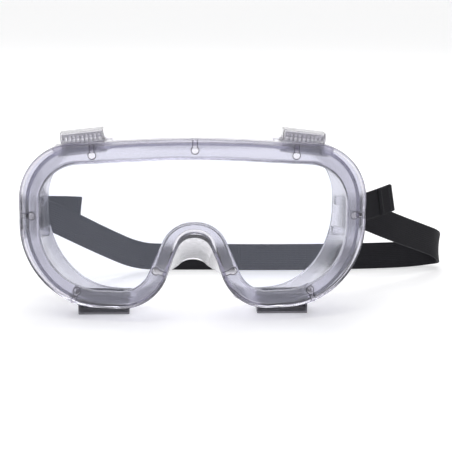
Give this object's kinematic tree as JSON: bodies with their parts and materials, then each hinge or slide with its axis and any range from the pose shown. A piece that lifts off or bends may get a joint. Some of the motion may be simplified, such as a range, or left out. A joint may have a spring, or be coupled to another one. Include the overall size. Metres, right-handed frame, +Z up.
{
  "type": "safety goggles",
  "caption": "Splash goggles with a soft clear frame, wrapped lens, pull-off vent caps, swivelling strap buckles and an elastic headband.",
  "frame": {"origin": "centre of the goggles' box without the headband, on the surface that they stand on", "axes": "+Z up, +Y from the lens towards the face, +X to the right as seen from the front"},
  "size_m": [0.2365, 0.1219, 0.0938],
  "materials": {
    "soft_frame": "soft clear vinyl, lavender-grey, satin gloss",
    "lens": "clear polycarbonate, polished",
    "vent_base": "smoke-tinted rigid plastic",
    "vent_baffle": "clear moulded plastic",
    "vent_cap": "clear grey moulded plastic",
    "buckle": "clear moulded plastic",
    "pin": "drawn steel",
    "headband": "black woven elastic"
  },
  "bodies": {
    "goggles": {"goggle_frame": "soft_frame", "lens": "lens", "buckle_pin_left": "pin", "buckle_pin_right": "pin", "headband": "headband", "vent_base_top_left": "vent_base", "vent_base_top_right": "vent_base", "vent_base_bottom_left": "vent_base", "vent_base_bottom_right": "vent_base", "vent_baffle_top_left": "vent_baffle", "vent_baffle_top_right": "vent_baffle", "vent_baffle_bottom_left": "vent_baffle", "vent_baffle_bottom_right": "vent_baffle"},
    "cap_top_left": {"vent_cap_top_left": "vent_cap"},
    "cap_top_right": {"vent_cap_top_right": "vent_cap"},
    "cap_bottom_left": {"vent_cap_bottom_left": "vent_cap"},
    "cap_bottom_right": {"vent_cap_bottom_right": "vent_cap"},
    "buckle_left": {"strap_buckle_left": "buckle"},
    "buckle_right": {"strap_buckle_right": "buckle"}
  },
  "joints": [
    {"name": "cap_top_left_pull", "type": "slide", "parent": "goggles", "child": "cap_top_left", "axis": [-0.1132, 0, 0.9936], "range_m": [0, 0.008]},
    {"name": "cap_top_right_pull", "type": "slide", "parent": "goggles", "child": "cap_top_right", "axis": [0.1132, 0, 0.9936], "range_m": [0, 0.008]},
    {"name": "cap_bottom_left_pull", "type": "slide", "parent": "goggles", "child": "cap_bottom_left", "axis": [0, 0, -1], "range_m": [0, 0.008]},
    {"name": "cap_bottom_right_pull", "type": "slide", "parent": "goggles", "child": "cap_bottom_right", "axis": [0, 0, -1], "range_m": [0, 0.008]},
    {"name": "buckle_left_swivel", "type": "hinge", "parent": "goggles", "child": "buckle_left", "pos_m": [-0.0855, 0.01995, 0.0433], "axis": [0, 0, 1], "range_deg": [-8, 45], "deforming": ["headband"]},
    {"name": "buckle_right_swivel", "type": "hinge", "parent": "goggles", "child": "buckle_right", "pos_m": [0.0855, 0.01995, 0.0433], "axis": [0, 0, -1], "range_deg": [-8, 45], "deforming": ["headband"]}
  ]
}
